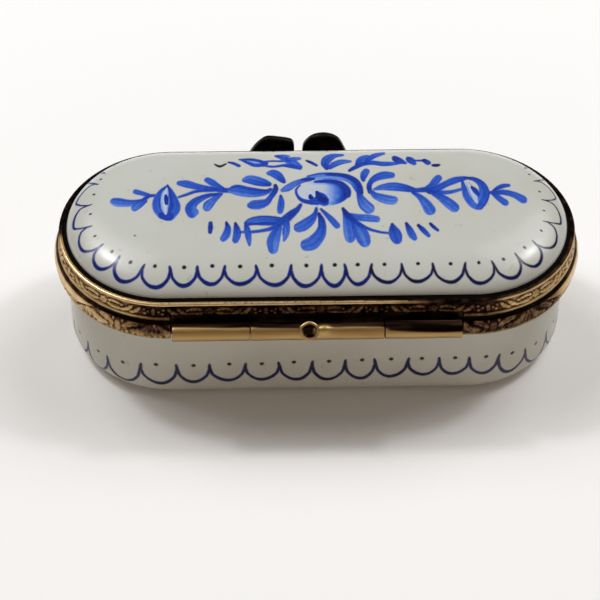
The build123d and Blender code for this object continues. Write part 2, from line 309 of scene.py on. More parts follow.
LEFT_BRANCH = [
    (LINE, [(13.6, -3.2, 0.22), (12.7, -3.15, 0.3), (11.9, -3.1, 0.3), (11.4, -3.1, 0.4)]),
    (mix(0.48, side=-0.12), [(6.3, -3.2, 0.18), (6.9, -2.7, 0.32), (8.2, -2.6, 0.58), (9.6, -2.8, 0.72),
     (10.9, -3.2, 0.72), (11.8, -3.1, 0.3)]),
    (mix(0.46, side=0.08), [(6.5, -4.3, 0.3), (7.2, -4.6, 0.52), (8.2, -5.0, 0.66), (9.1, -5.3, 0.6),
     (9.8, -5.2, 0.32)]),
    (mix(0.5, head=0.3), [(5.65, -4.0, 0.18), (5.6, -3.3, 0.3), (5.9, -2.5, 0.32), (6.3, -1.7, 0.3),
     (6.9, -0.7, 0.42), (7.8, -0.3, 0.6), (8.6, -0.2, 0.58), (9.1, -0.1, 0.35)]),
    (LINE, [(18.7, -1.9, 0.1), (17.6, -2.4, 0.14), (16.3, -3.0, 0.16), (14.6, -3.2, 0.2), (13.2, -3.2, 0.2)]),
    (LEAF, [(13.4, -3.5, 0.16), (15.0, -3.7, 0.24), (16.4, -4.0, 0.4), (17.7, -4.5, 0.5), (18.7, -4.7, 0.3)]),
    (LEAF, [(12.4, -3.2, 0.14), (13.4, -4.0, 0.28), (14.3, -4.8, 0.42), (14.9, -5.3, 0.36)]),
    (mix(0.52, side=-0.08), [(13.4, -2.4, 0.14), (15.0, -2.0, 0.28), (16.5, -0.9, 0.5), (17.1, 0.3, 0.66),
     (16.9, 1.3, 0.6)]),
    (mix(0.4, head=0), [(16.6, 0.3, 0.2), (16.4, 1.1, 0.36)]),
    (PALE, [(13.0, -2.4, 0.16), (13.9, -1.4, 0.34), (14.7, -0.3, 0.56), (14.9, 0.2, 0.5)]),
    (LINE, [(21.6, -2.3, 0.12), (22.6, -2.2, 0.16), (23.3, -1.7, 0.2)]),
    (LEAF, [(22.4, -2.2, 0.14), (23.6, -2.7, 0.26), (24.6, -3.15, 0.3)]),
    (mix(0.44, side=-0.1), [(22.9, -1.9, 0.14), (23.9, -1.1, 0.32), (25.3, -0.9, 0.42), (26.8, -1.2, 0.56),
     (27.5, -1.5, 0.42)]),
    (PALE, [(23.2, -1.2, 0.2), (24.0, -0.5, 0.4), (24.6, 0.1, 0.4)]),
]

LEFT_POD = [
    (mix(0.5, side=0.06), [(20.35, -4.2, 0.06), (21.1, -3.0, 0.3), (21.6, -1.4, 0.5), (21.5, 0.2, 0.62),
     (20.8, 1.5, 0.6)]),
    (mix(0.55, side=-0.08), [(20.3, -4.3, 0.06), (19.8, -2.9, 0.28), (19.4, -1.2, 0.55), (19.3, 0.3, 0.78),
     (19.9, 1.6, 0.74)]),
    (mix(0.66, head=0), [(20.9, 1.6, 0.4), (20.2, 1.9, 0.5), (19.8, 1.7, 0.4)]),
    (mix(0.03, head=0, edge=0.3), [(20.4, -3.6, 0.08), (20.6, -2.4, 0.42), (20.6, -0.8, 0.5),
     (20.5, 0.6, 0.32),
     (20.4, 1.3, 0.1)]),
    (mix(0.7, head=0.1), [(20.5, -2.2, 0.1), (20.4, -1.6, 0.24), (20.35, -0.7, 0.18)]),
]

ROSE_PETALS = [
    (mix(0.4, edge=0.1, head=0, tail=0.15), [(4.7, -3.0, 0.2), (3.9, -3.5, 0.42), (3.0, -4.3, 0.36),
     (2.0, -4.9, 0.28), (0.9, -5.3, 0.3)]),
    (mix(0.34, head=0, edge=0.1, tail=0.4, side=0.15), [(1.0, -5.6, 0.3), (-0.6, -5.9, 0.46),
     (-2.4, -5.9, 0.46), (-4.0, -5.5, 0.5), (-5.1, -4.6, 0.58), (-5.6, -3.4, 0.56), (-5.8, -2.4, 0.4)]),
    (mix(0.72, head=0), [(-1.4, -6.2, 0.08), (-3.2, -6.1, 0.22), (-4.6, -5.5, 0.3), (-5.6, -4.3, 0.3),
     (-6.0, -2.9, 0.22)]),
    (mix(0.36, head=0.3, edge=0.12), [(-5.7, -2.1, 0.3), (-5.9, -1.1, 0.48), (-6.3, 0, 0.72),
     (-6.8, 0.7, 0.74)]),
]

ROSE_HEART = [
    (mix(0.7, head=0), [(2.0, -5.1, 0.1), (1.2, -5.3, 0.18), (0.4, -5.3, 0.14)]),
    (mix(0.7, head=0), [(0.2, -4.7, 0.1), (-1.2, -4.8, 0.22), (-2.6, -4.6, 0.28), (-3.6, -3.9, 0.34),
     (-4.2, -2.8, 0.34), (-4.2, -1.8, 0.24)]),
    (mix(0.66, head=0), [(2.3, -4.0, 0.06), (2.85, -3.0, 0.08), (2.7, -1.9, 0.12), (2.1, -1.0, 0.2),
     (1.1, -0.6, 0.26), (0.1, -0.5, 0.3)]),
    (mix(0.6, head=0), [(0.9, -0.9, 0.16), (0.2, -1.0, 0.4), (-0.6, -0.9, 0.6), (-0.9, -0.7, 0.6)]),
    (mix(0.7, head=0.2), [(0.05, -2.6, 0.1), (-0.2, -2.0, 0.36), (-0.6, -1.4, 0.6), (-0.9, -1.0, 0.5)]),
    (mix(0.82, head=0), [(0.95, -1.9, 0.12), (0.9, -1.55, 0.24)]),
    (mix(0.8, head=0), [(-0.4, -1.2, 0.3), (-1.0, -1.0, 0.34)]),
]

RIGHT_BRANCH = [
    (LEAF, [(-6.4, -4.8, 0.14), (-6.4, -5.4, 0.32), (-6.6, -6.2, 0.46), (-6.9, -6.8, 0.4)]),
    (mix(0.5, head=0.3), [(-7.2, -2.5, 0.26), (-7.1, -3.5, 0.28), (-7.4, -4.5, 0.3), (-8.2, -5.4, 0.46),
     (-9.3, -5.9, 0.56), (-10.3, -5.9, 0.42)]),
    (mix(0.4, side=0.06), [(-7.3, -2.6, 0.2), (-7.9, -1.7, 0.42), (-9.0, -1.1, 0.6), (-10.0, -0.8, 0.58),
     (-10.4, -0.9, 0.4)]),
    (mix(0.46, head=0, tail=0.25), [(-7.8, -3.0, 0.12), (-9.0, -3.4, 0.4), (-10.5, -3.5, 0.58),
     (-11.9, -3.2, 0.5), (-13.0, -2.8, 0.34)]),
    (LINE, [(-12.4, -2.9, 0.34), (-13.4, -2.7, 0.26), (-14.6, -2.8, 0.32), (-15.8, -2.9, 0.4)]),
    (LEAF, [(-14.6, -2.8, 0.2), (-15.6, -3.6, 0.36), (-16.3, -4.6, 0.46), (-16.7, -5.2, 0.42)]),
    (mix(0.48, tail=0.16), [(-15.0, -2.6, 0.3), (-16.4, -3.1, 0.42), (-17.6, -3.9, 0.4), (-18.8, -4.6, 0.44),
     (-20.0, -5.0, 0.3), (-20.7, -5.1, 0.14)]),
    (LEAF, [(-15.2, -2.4, 0.3), (-16.8, -2.2, 0.26), (-18.2, -2.3, 0.2), (-19.6, -2.8, 0.14)]),
    (mix(0.44, side=0.06), [(-13.0, -2.2, 0.16), (-13.9, -1.3, 0.36), (-14.6, 0, 0.62), (-15.0, 1.1, 0.74)]),
    (mix(0.46, side=0.06), [(-15.6, -2.1, 0.22), (-16.6, -1.3, 0.44), (-17.6, -0.2, 0.66),
     (-18.3, 0.7, 0.66)]),
    (LINE, [(-22.9, -2.1, 0.1), (-23.8, -2.1, 0.2), (-24.4, -2.2, 0.2)]),
    (mix(0.58), [(-23.8, -2.2, 0.12), (-24.6, -3.0, 0.22), (-25.4, -3.5, 0.26), (-26.2, -3.7, 0.18)]),
    (LEAF, [(-24.0, -2.0, 0.2), (-25.3, -2.2, 0.34), (-26.7, -1.8, 0.42), (-27.8, -1.0, 0.56)]),
    (LEAF, [(-23.8, -2.0, 0.2), (-24.5, -1.1, 0.36), (-25.3, -0.2, 0.44)]),
]

RIGHT_POD = [
    (mix(0.46), [(-19.9, -4.6, 0.08), (-20.0, -3.2, 0.28), (-20.2, -1.4, 0.4), (-20.8, 0, 0.46),
     (-21.4, 0.6, 0.44)]),
    (mix(0.52, side=0.08), [(-20.4, -5.1, 0.12), (-21.6, -4.8, 0.28), (-22.5, -3.7, 0.48),
     (-22.7, -2.2, 0.64),
     (-22.3, -0.8, 0.7), (-21.7, 0.4, 0.6)]),
    (mix(0.03, head=0, edge=0.3), [(-20.6, -4.1, 0.08), (-20.9, -3.0, 0.34), (-21.2, -1.7, 0.4),
     (-21.4, -0.6, 0.26), (-21.5, -0.1, 0.08)]),
    (mix(0.66, head=0.1), [(-21.1, -3.2, 0.12), (-21.5, -2.5, 0.3), (-21.8, -1.8, 0.22)]),
]

UPPER_SPRAYS = [
    (mix(0.97, head=0), [(13.9, -8.8, 0.06), (13.2, -8.3, 0.13), (12.4, -8.9, 0.06)]),
    (mix(0.66, head=0.1), [(12.0, -9.3, 0.1), (11.3, -9.0, 0.18), (10.6, -8.4, 0.2)]),
    (mix(0.2, head=0), [(10.2, -9.8, 0.14), (9.0, -9.4, 0.4), (7.9, -9.0, 0.44), (7.2, -8.8, 0.3)]),
    (mix(0.66, head=0.1), [(10.5, -10.0, 0.08), (9.0, -10.0, 0.18), (7.8, -9.6, 0.18), (6.9, -8.9, 0.3)]),
    (mix(0.62, head=0), [(10.2, -9.8, 0.1), (9.3, -9.1, 0.2), (8.4, -8.5, 0.24), (7.0, -8.5, 0.2)]),
    (LINE, [(7.2, -9.4, 0.09), (5.8, -9.5, 0.1), (4.6, -9.4, 0.12)]),
    (LINE, [(7.2, -8.4, 0.11), (5.9, -8.1, 0.12), (4.4, -8.4, 0.16)]),
    (mix(0.44), [(5.4, -10.9, 0.2), (4.6, -10.4, 0.36), (3.8, -9.6, 0.5), (3.0, -8.8, 0.58),
     (2.3, -8.0, 0.4)]),
    (PALE, [(5.2, -11.0, 0.16), (4.4, -11.0, 0.22), (3.7, -10.8, 0.16)]),
    (PALE, [(3.8, -9.8, 0.3), (2.9, -10.0, 0.34), (2.2, -10.1, 0.2)]),
    (mix(0.62, head=0), [(4.6, -8.4, 0.16), (3.4, -8.2, 0.3), (2.2, -7.7, 0.24)]),
    (LEAF, [(4.45, -4.75, 0.2), (4.8, -5.3, 0.42), (5.3, -6.1, 0.58), (5.9, -6.6, 0.52), (6.5, -6.6, 0.26)]),
    (mix(0.68), [(1.2, -9.5, 0.12), (0.6, -9.0, 0.19), (-0.1, -8.3, 0.14)]),
    (LEAF, [(-1.5, -7.6, 0.26), (-1.3, -8.7, 0.5), (-1.7, -9.9, 0.62), (-2.6, -10.8, 0.46),
     (-3.8, -11.0, 0.2)]),
    (PALE, [(-1.9, -7.7, 0.22), (-2.6, -8.5, 0.4), (-3.6, -9.1, 0.38), (-4.8, -9.2, 0.16)]),
    (mix(0.54), [(-4.6, -7.0, 0.16), (-5.4, -7.7, 0.26), (-6.5, -8.5, 0.3), (-7.8, -8.8, 0.34),
     (-9.2, -8.5, 0.36), (-10.4, -8.5, 0.3), (-11.6, -8.6, 0.12)]),
    (LEAF, [(-5.7, -8.4, 0.2), (-6.1, -9.3, 0.4), (-6.7, -10.1, 0.42), (-7.3, -10.6, 0.2)]),
    (LEAF, [(-6.9, -8.8, 0.22), (-7.5, -9.8, 0.34), (-8.4, -10.8, 0.42), (-9.5, -11.4, 0.28)]),
    (mix(0.62), [(-11.0, -10.3, 0.16), (-11.2, -9.7, 0.5), (-11.8, -9.1, 0.42), (-12.4, -8.6, 0.14)]),
    (mix(0.56), [(-12.9, -9.9, 0.24), (-13.2, -9.3, 0.52), (-13.6, -8.5, 0.26)]),
    (LINE, [(-13.6, -9.2, 0.1), (-14.6, -9.2, 0.12), (-15.0, -9.1, 0.14)]),
    (mix(0.66), [(-15.1, -9.2, 0.3), (-15.5, -8.7, 0.38)]),
    (mix(0.88, head=0), [(-16.2, -8.0, 0.16), (-16.7, -8.0, 0.2), (-17.1, -8.1, 0.08)]),
]

LOWER_SPRAYS = [
    (LEAF, [(4.95, -1.9, 0.12), (4.9, -0.8, 0.34), (5.0, 0.3, 0.4), (5.1, 1.1, 0.32)]),
    (mix(0.44, edge=0.14), [(4.8, 2.8, 0.3), (6.2, 2.7, 0.46), (7.8, 2.7, 0.52), (9.0, 3.0, 0.46),
     (9.6, 3.3, 0.24)]),
    (mix(0.66, head=0), [(5.4, 3.4, 0.16), (7.0, 3.5, 0.14), (8.6, 3.4, 0.12), (9.4, 3.4, 0.1)]),
    (mix(0.58, head=0.1), [(2.3, -0.1, 0.16), (2.8, 0.8, 0.3), (3.5, 1.6, 0.46), (4.3, 2.5, 0.5),
     (5.3, 3.5, 0.36), (6.3, 4.3, 0.22), (7.6, 4.7, 0.15), (9.0, 4.9, 0.13), (10.4, 4.9, 0.08)]),
    (mix(0.7, head=0), [(3.2, 1.2, 0.2), (3.6, 1.7, 0.26), (4.3, 2.6, 0.2)]),
    (mix(0.46, head=0.25), [(9.75, 3.2, 0.12), (9.55, 4.4, 0.34), (9.4, 5.6, 0.36), (9.3, 6.6, 0.22),
     (9.25, 7.2, 0.08)]),
    (mix(0.5, head=0.35), [(11.1, 3.3, 0.12), (10.9, 4.4, 0.38), (10.9, 5.4, 0.46), (11.1, 6.3, 0.36)]),
    (mix(0.44, head=0.4), [(12.3, 3.1, 0.1), (12.1, 4.2, 0.34), (12.3, 5.3, 0.46), (12.7, 6.0, 0.36)]),
    (mix(0.72, head=0), [(14.4, 3.2, 0.2), (14.4, 4.0, 0.27), (14.45, 4.8, 0.2)]),
    (mix(0.42, side=-0.1), [(5.2, 3.9, 0.26), (5.7, 5.2, 0.6), (6.1, 6.6, 0.78), (6.15, 7.8, 0.6)]),
    (PALE, [(4.2, 2.9, 0.24), (4.3, 4.0, 0.4), (4.4, 5.1, 0.4), (4.55, 6.0, 0.2), (4.7, 6.5, 0.08)]),
    (mix(0.46, head=0.25), [(0.2, 0.6, 0.12), (0.45, 1.8, 0.28), (1.1, 2.9, 0.56), (2.0, 3.8, 0.68),
     (2.7, 4.2, 0.58)]),
    (mix(0.46, head=0.35), [(-0.1, 1.6, 0.12), (-0.4, 3.0, 0.4), (-0.4, 4.4, 0.52), (0, 5.7, 0.7),
     (0.9, 6.9, 0.8), (1.8, 7.3, 0.66)]),
    (mix(0.48), [(-0.4, 0.8, 0.1), (-1.1, 1.8, 0.24), (-1.8, 2.9, 0.36), (-2.4, 3.9, 0.38)]),
    (mix(0.42, side=0.08), [(-3.6, 1.8, 0.26), (-3.85, 3.4, 0.54), (-4.0, 5.0, 0.7), (-4.05, 6.1, 0.62)]),
    (mix(0.4, edge=0.16), [(-4.6, 3.0, 0.26), (-5.2, 4.4, 0.68), (-5.7, 5.8, 0.88), (-5.95, 6.7, 0.74)]),
    (mix(0.42), [(-4.0, 1.9, 0.22), (-5.2, 2.4, 0.38), (-6.6, 2.6, 0.44), (-7.8, 2.8, 0.38)]),
    (mix(0.6, head=0.2), [(-3.35, 0.7, 0.14), (-3.8, 1.8, 0.34), (-4.6, 2.9, 0.3), (-5.6, 3.9, 0.22),
     (-6.8, 4.7, 0.13), (-8.1, 5.2, 0.1), (-9.2, 5.4, 0.08)]),
    (mix(0.54, head=0.25), [(-9.8, 3.8, 0.12), (-9.9, 4.7, 0.48), (-10.1, 5.7, 0.78), (-10.25, 6.4, 0.64)]),
    (mix(0.48, head=0.35), [(-11.7, 3.7, 0.14), (-12.0, 4.7, 0.36), (-12.3, 5.7, 0.44), (-12.6, 6.3, 0.3)]),
    (mix(0.54, head=0.3), [(-13.3, 4.1, 0.17), (-13.9, 5.0, 0.29), (-14.5, 5.9, 0.2)]),
    (mix(0.68), [(-14.9, 3.8, 0.13), (-15.3, 4.4, 0.19), (-15.8, 5.0, 0.13)]),
]


def paint_rose_cup(painting):
    """The open cup of the rose: bare glaze on its left, deepening to cobalt on its right."""
    u, v = painting.u, painting.v
    cu, cv, ru, rv = -0.75, -2.35, 3.6, 2.55
    where = np.flatnonzero((np.abs(u - cu) < ru + 0.5) & (np.abs(v - cv) < rv + 0.5))
    x = (u[where] - cu) / ru
    y = (v[where] - cv) / rv
    radius = np.hypot(x, y)
    inside = (1 - radius) * rv
    rings = 0.05 * np.sin(radius * 16 + 1.5) * smoothstep(0.3, 0.8, radius)
    depth = smoothstep(0.15, -1.0, x)
    top = smoothstep(-0.55, -1.0, y) * smoothstep(0.6, 0.0, x)
    tone = 0.02 + 0.62 * depth**1.1 + 0.34 * top + 0.16 * depth * smoothstep(0.6, 1.0, radius) + rings * depth
    painting.lay(where, inside, np.clip(tone, 0, 0.76))


def paint_lid(painting):
    def strokes(*groups):
        for settings, points in sum(groups, []):
            painting.stroke(points, **settings)

    strokes(UPPER_SPRAYS, LOWER_SPRAYS, LEFT_BRANCH, LEFT_POD, RIGHT_BRANCH, RIGHT_POD, ROSE_PETALS)
    paint_rose_cup(painting)
    strokes(ROSE_HEART)
    painting.spot(24.4, 5.2, 0.13, tone=0.93)


def scallop_border(painting, cusps, loop, tip_at, depth, style):
    """Hand-drawn swags between cusps, with a tick at each cusp and a dot in each swag.

    tip_at and depth give, for a place s along the edge, where the ticks start and how far the
    swags hang below them. style gives (line half width, tone, lean of the swag) for a place.
    """
    for k, start in enumerate(cusps):
        end = cusps[(k + 1) % len(cusps)]
        if end <= start:
            end += loop
        width = end - start
        middle = wrapped(start + width / 2, loop)
        half, tone, lean = style(middle)
        top, sag = tip_at(middle), depth(middle) * (1 + 0.08 * math.sin(5.3 * k + 1))
        t = np.linspace(0.0, 1.0, 15)
        arch = np.sin(math.pi * t) ** 0.5
        edge_tip = np.interp(t, [0, 1], [tip_at(start), tip_at(end)])
        swag_v = edge_tip * (1 - arch) + top * arch + sag * (0.2 + 0.8 * arch)
        swag_s = start + width * (t + (lean + 0.04 * math.sin(3.1 * k)) * np.sin(math.pi * t) ** 2)
        swell = half * (0.8 + 0.35 * np.sin(math.pi * (t - 0.1 * math.sin(2 * k))) ** 2)
        slant = 0.16 * math.sin(2.3 * k)
        tick_top, tick_sag = tip_at(start), depth(start)
        tick = [
            (start - slant, tick_top, half * 0.6),
            (start - slant * 0.4, tick_top + 0.14 * tick_sag, half * 0.9),
            (start + slant * 0.2, tick_top + 0.34 * tick_sag, half * 0.95),
        ]
        dot = (start + width * (0.5 + 0.06 * math.sin(4.7 * k)), top + 0.03 * sag + 0.1 * math.sin(3.3 * k))
        for shift in (0, -loop):
            painting.stroke(list(zip(swag_s + shift, swag_v, swell)), tone=tone, head=0.05, edge=-0.06)
            painting.stroke([(a + shift, b, w) for a, b, w in tick], tone=tone + 0.03, head=0, edge=-0.06)
            painting.spot(dot[0] + shift, dot[1], half + 0.04, tone=0.985)


def spaced_cusps(known, loop, spacing):
    """The cusps painted by eye along the hinge side, carried on round the rest of the loop."""
    gap = loop - (known[-1] - known[0])
    count = round(gap / spacing)
    more = [known[-1] + gap * (k + 0.16 * math.sin(2.9 * k)) / count for k in range(1, count)]
    return sorted(wrapped(s, loop) for s in known + more)


def travel_up(rows):
    """Distance along a section from its last row back to each row."""
    travel = np.concatenate([[0], np.cumsum(np.linalg.norm(np.diff(rows, axis=0), axis=1))])
    return travel[-1] - travel


def edge_painting(columns, travel):
    """A painting whose u runs round the outline, and whose v runs down the section."""
    return Painting(*np.broadcast_arrays(columns["s"][:, None], travel))


def painted_object(name, grid, part, painting, wrap_rows=False):
    """A grid object with the painting on some of its rows."""
    layers = {"ink": np.full(grid.shape[:2], -1.0), "tone": np.full(grid.shape[:2], 0.5)}
    for key, layer in layers.items():
        layer[:, part] = getattr(painting, key).reshape(len(grid), -1)
    return grid_object(name, grid, layers, wrap_rows)


# ---- Materials ----

def new_material(name):
    material = bpy.data.materials.new(name)
    material.use_nodes = True
    tree = material.node_tree
    return material, tree, tree.nodes["Principled BSDF"]


def set_inputs(tree, node, inputs):
    """Link each input to a socket, or give it a value."""
    for key, value in inputs.items():
        if isinstance(value, bpy.types.NodeSocket):
            tree.links.new(value, node.inputs[key])
        else:
            node.inputs[key].default_value = value


def add_node(tree, kind, inputs=None, **settings):
    node = tree.nodes.new(kind)
    for key, value in settings.items():
        setattr(node, key, value)
    set_inputs(tree, node, inputs or {})
    return node


def linear(red, green, blue):
    """An sRGB colour of 0 to 255 as linear values."""
    channels = [c / 255 for c in (red, green, blue)]
    return [c / 12.92 if c <= 0.04045 else ((c + 0.055) / 1.055) ** 2.4 for c in channels] + [1.0]


def ramp(tree, factor, stops):
    node = add_node(tree, "ShaderNodeValToRGB", {"Fac": factor})
    elements = node.color_ramp.elements
    while len(elements) < len(stops):
        elements.new(0.5)
    for element, (position, colour) in zip(elements, stops):
        element.position = position
        element.color = colour
    return node.outputs["Color"]


def math_node(tree, operation, *values):
    return add_node(tree, "ShaderNodeMath", dict(enumerate(values)), operation=operation).outputs[0]


def remap(tree, value, low, high, to_low, to_high, kind="LINEAR"):
    inputs = {"Value": value, "From Min": low, "From Max": high, "To Min": to_low, "To Max": to_high}
    return add_node(tree, "ShaderNodeMapRange", inputs, interpolation_type=kind).outputs["Result"]


def noise(tree, scale, detail=3.0, stretch=None):
    position = add_node(tree, "ShaderNodeTexCoord").outputs["Object"]
    if stretch:
        position = add_node(tree, "ShaderNodeMapping", {"Vector": position, "Scale": stretch}).outputs[0]
    node = add_node(tree, "ShaderNodeTexNoise", {"Vector": position, "Scale": scale, "Detail": detail})
    return node.outputs["Fac"]


def mix_colour(tree, factor, first, second):
    return add_node(tree, "ShaderNodeMix", {0: factor, 6: first, 7: second}, data_type="RGBA").outputs[2]


def bump(tree, height, strength, distance):
    inputs = {"Height": height, "Strength": strength, "Distance": distance}
    return add_node(tree, "ShaderNodeBump", inputs).outputs["Normal"]


def attribute(tree, name):
    return add_node(tree, "ShaderNodeAttribute", attribute_name=name).outputs["Fac"]


PAINT_TONES = [
    (0.0, linear(190, 196, 203)),
    (0.14, linear(150, 172, 212)),
    (0.32, linear(88, 126, 210)),
    (0.46, linear(48, 92, 194)),
    (0.6, linear(26, 68, 176)),
    (0.74, linear(14, 46, 144)),
    (0.85, linear(12, 30, 112)),
    (0.93, linear(14, 14, 44)),
    (1.0, linear(12, 12, 14)),
]
GLAZE_WHITE = linear(194, 197, 191)
GLAZE_WARM = linear(187, 188, 179)
# The bowl's glaze is the lid's, painted darker and warmer as shade on its walls.
SHADED_BOWL_WHITE = linear(190, 190, 180)
SHADED_BOWL_WARM = linear(182, 179, 166)


def glaze_material(name, painted, white=GLAZE_WHITE, warm=GLAZE_WARM):
    """White glaze with faint warm clouds, over which the paint attributes lie."""
    material, tree, shader = new_material(name)
    clouds = remap(tree, noise(tree, 55.0, 4.0), 0.35, 0.7, 0.0, 1.0)
    pits = remap(tree, noise(tree, 900.0, 1.0), 0.72, 0.78, 0.0, 0.35)
    colour = mix_colour(tree, pits, mix_colour(tree, clouds, white, warm), linear(150, 147, 138))
    if painted:
        wobble = remap(tree, noise(tree, 2600.0, 2.0), 0.0, 1.0, -0.035, 0.035)
        edge = math_node(tree, "ADD", attribute(tree, "ink"), wobble)
        cover = remap(tree, edge, -0.13, 0.09, 0.0, 1.0, "SMOOTHSTEP")
        grain = remap(tree, noise(tree, 1500.0, 3.0), 0.2, 0.8, -0.05, 0.05)
        paint = ramp(tree, math_node(tree, "ADD", attribute(tree, "tone"), grain), PAINT_TONES)
        colour = mix_colour(tree, cover, colour, paint)
    set_inputs(tree, shader, {
        "Base Color": colour,
        "Roughness": remap(tree, noise(tree, 120.0, 2.0), 0.3, 0.7, 0.19, 0.25),
        "IOR": 1.5,
        "Specular IOR Level": 0.4,
        "Normal": bump(tree, noise(tree, 260.0, 3.0), 0.12, 0.0004),
    })
    return material


def mottled_material(name, clouds, first, second, rough, grain=None, fade=(0.0, 1.0), metallic=0.0,
                     specular=0.5):
    """Two colours that noise mixes. fade is the noise between which one gives way to the other.

    rough is one value or the ends of a range, and clouds and grain are scales and details of noise.
    """
    material, tree, shader = new_material(name)
    share = noise(tree, *clouds)
    if fade != (0.0, 1.0):
        share = remap(tree, share, *fade, 0.0, 1.0)
    if isinstance(rough, tuple):
        rough = remap(tree, noise(tree, 900.0, 3.0), 0.3, 0.7, *rough)
    set_inputs(tree, shader, {
        "Base Color": mix_colour(tree, share, linear(*first), linear(*second)),
        "Roughness": rough,
        "Metallic": metallic,
        "Specular IOR Level": specular,
    })
    if grain:
        set_inputs(tree, shader, {"Normal": bump(tree, noise(tree, *grain[:2]), *grain[2:])})
    return material


def brass_material(name, bright=(224, 194, 146), worn_rough=0.3, stretch=None):
    """Gilt brass: bright on the high spots, brown and rough in the hollows and under painted shade."""
    material, tree, shader = new_material(name)
    mottled = remap(tree, noise(tree, 800.0, 6.0, stretch), 0.25, 0.75, -0.16, 0.16)
    level = math_node(tree, "ADD", attribute(tree, "height"), mottled)
    rough = remap(tree, level, 0.1, 0.9, 0.6, worn_rough)
    scratches = remap(tree, noise(tree, 2200.0, 2.0, stretch), 0.3, 0.7, -0.05, 0.07)
    set_inputs(tree, shader, {
        "Base Color": ramp(tree, level, [
            (0.0, linear(12, 7, 5)),
            (0.22, linear(76, 50, 38)),
            (0.55, linear(166, 135, 87)),
            (1.0, linear(*bright)),
        ]),
        "Metallic": 1.0,
        "Roughness": math_node(tree, "ADD", rough, scratches),
        "Normal": bump(tree, noise(tree, 1500.0, 4.0, stretch), 0.25, 0.00006),
    })
    return material


def steel_material():
    material, tree, shader = new_material("drawn_steel")
    lines = noise(tree, 500.0, 3.0, (0.08, 1.0, 1.0))
    set_inputs(tree, shader, {
        "Base Color": mix_colour(tree, lines, linear(150, 142, 130), linear(96, 88, 78)),
        "Metallic": 1.0,
        "Roughness": remap(tree, lines, 0.3, 0.7, 0.22, 0.4),
        "Normal": bump(tree, lines, 0.2, 0.00004),
    })
    return material


MATERIALS = {
    "painted": glaze_material("painted_glaze", painted=True),
    "painted_bowl": glaze_material("shaded_painted_bowl_glaze", True, SHADED_BOWL_WHITE, SHADED_BOWL_WARM),
    "glaze": glaze_material("plain_glaze", painted=False),
    "rim": brass_material("engraved_brass"),
    "tube": brass_material("drawn_brass_tube", (182, 157, 102), 0.36, (0.12, 1.0, 1.0)),
    "steel": steel_material(),
    "bisque": mottled_material("unglazed_foot", (900, 4), (188, 178, 160), (150, 138, 120), 0.85,
                               (3000, 3, 0.5, 0.0001)),
    # The hinge leaves are coloured near black, partly as patina and partly as painted shade of the recess
    # between the rims and the tube.
    "leaf": mottled_material("patina_and_shade_hinge_brass", (500, 5), (22, 14, 9), (74, 52, 32), (0.45, 0.6),
                             (1500, 4, 0.3, 0.00006), fade=(0.45, 0.75), metallic=0.9),
    # The clasp is coloured near black, partly as dark patina and partly as painted shade.
    "black": mottled_material("patina_and_shade_bronze", (380, 5), (9, 7, 6), (44, 30, 20), (0.32, 0.5),
                              (1300, 4, 0.3, 0.00008), fade=(0.5, 0.8), metallic=0.85),
    "cement": mottled_material("dark_bedding", (1200, 5), (14, 10, 8), (4, 3, 2), 0.95,
                               (2500, 4, 0.7, 0.00015), specular=0.1),
    "floor": mottled_material("pale_floor", (8, 2), (250, 250, 250), (247, 247, 247), 0.9, specular=0.1),
}


def finish_piece(obj, material, body, slot, *nodes):
    """Material, body, slot and the CAD nodes that a piece stands for. The slot is not used."""
    obj.data.materials.append(MATERIALS[material])
    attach(obj, body)
    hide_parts(*nodes)


# ---- Porcelain ----

def crown_height(reach):
    """The lid's outer surface."""
    share = np.clip(np.asarray(reach) / LID_REACH, 0, 1)
    return LID_SHOULDER + (LID_TOP - LID_SHOULDER) * np.sqrt(1 - share**CROWN_POWER)


